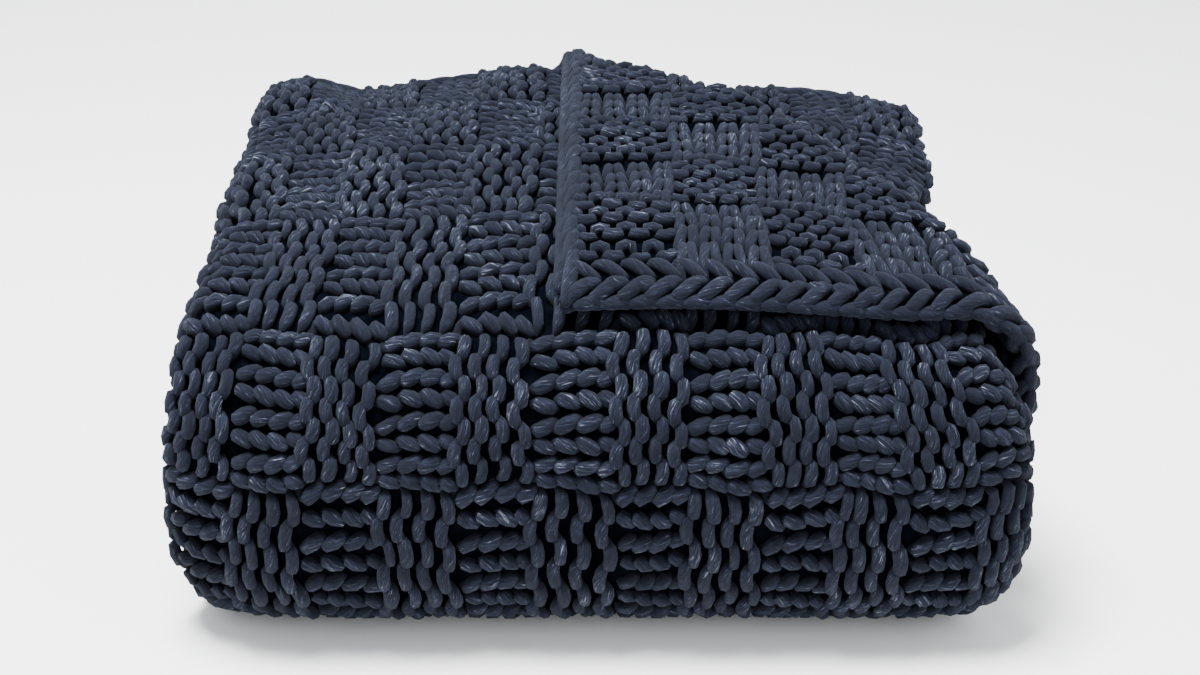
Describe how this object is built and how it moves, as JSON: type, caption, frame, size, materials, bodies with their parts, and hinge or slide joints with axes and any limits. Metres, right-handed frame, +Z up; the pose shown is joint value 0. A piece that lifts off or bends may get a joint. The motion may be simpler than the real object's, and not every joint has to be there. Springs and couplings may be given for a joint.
{
  "type": "knit throw",
  "caption": "Chunky knit throw folded into a flat, round-fronted bundle, with the corner of its top layer turned back.",
  "frame": {"origin": "on the surface that the folded throw rests on, under the middle of its box", "axes": "+Z up, -Y to the round front fold, +X to the side where the turned-back corner hangs down"},
  "size_m": [0.4484, 0.3648, 0.2256],
  "materials": {
    "yarn": "soft matt roving yarn"
  },
  "bodies": {
    "root": {"throw": "yarn"}
  },
  "joints": []
}
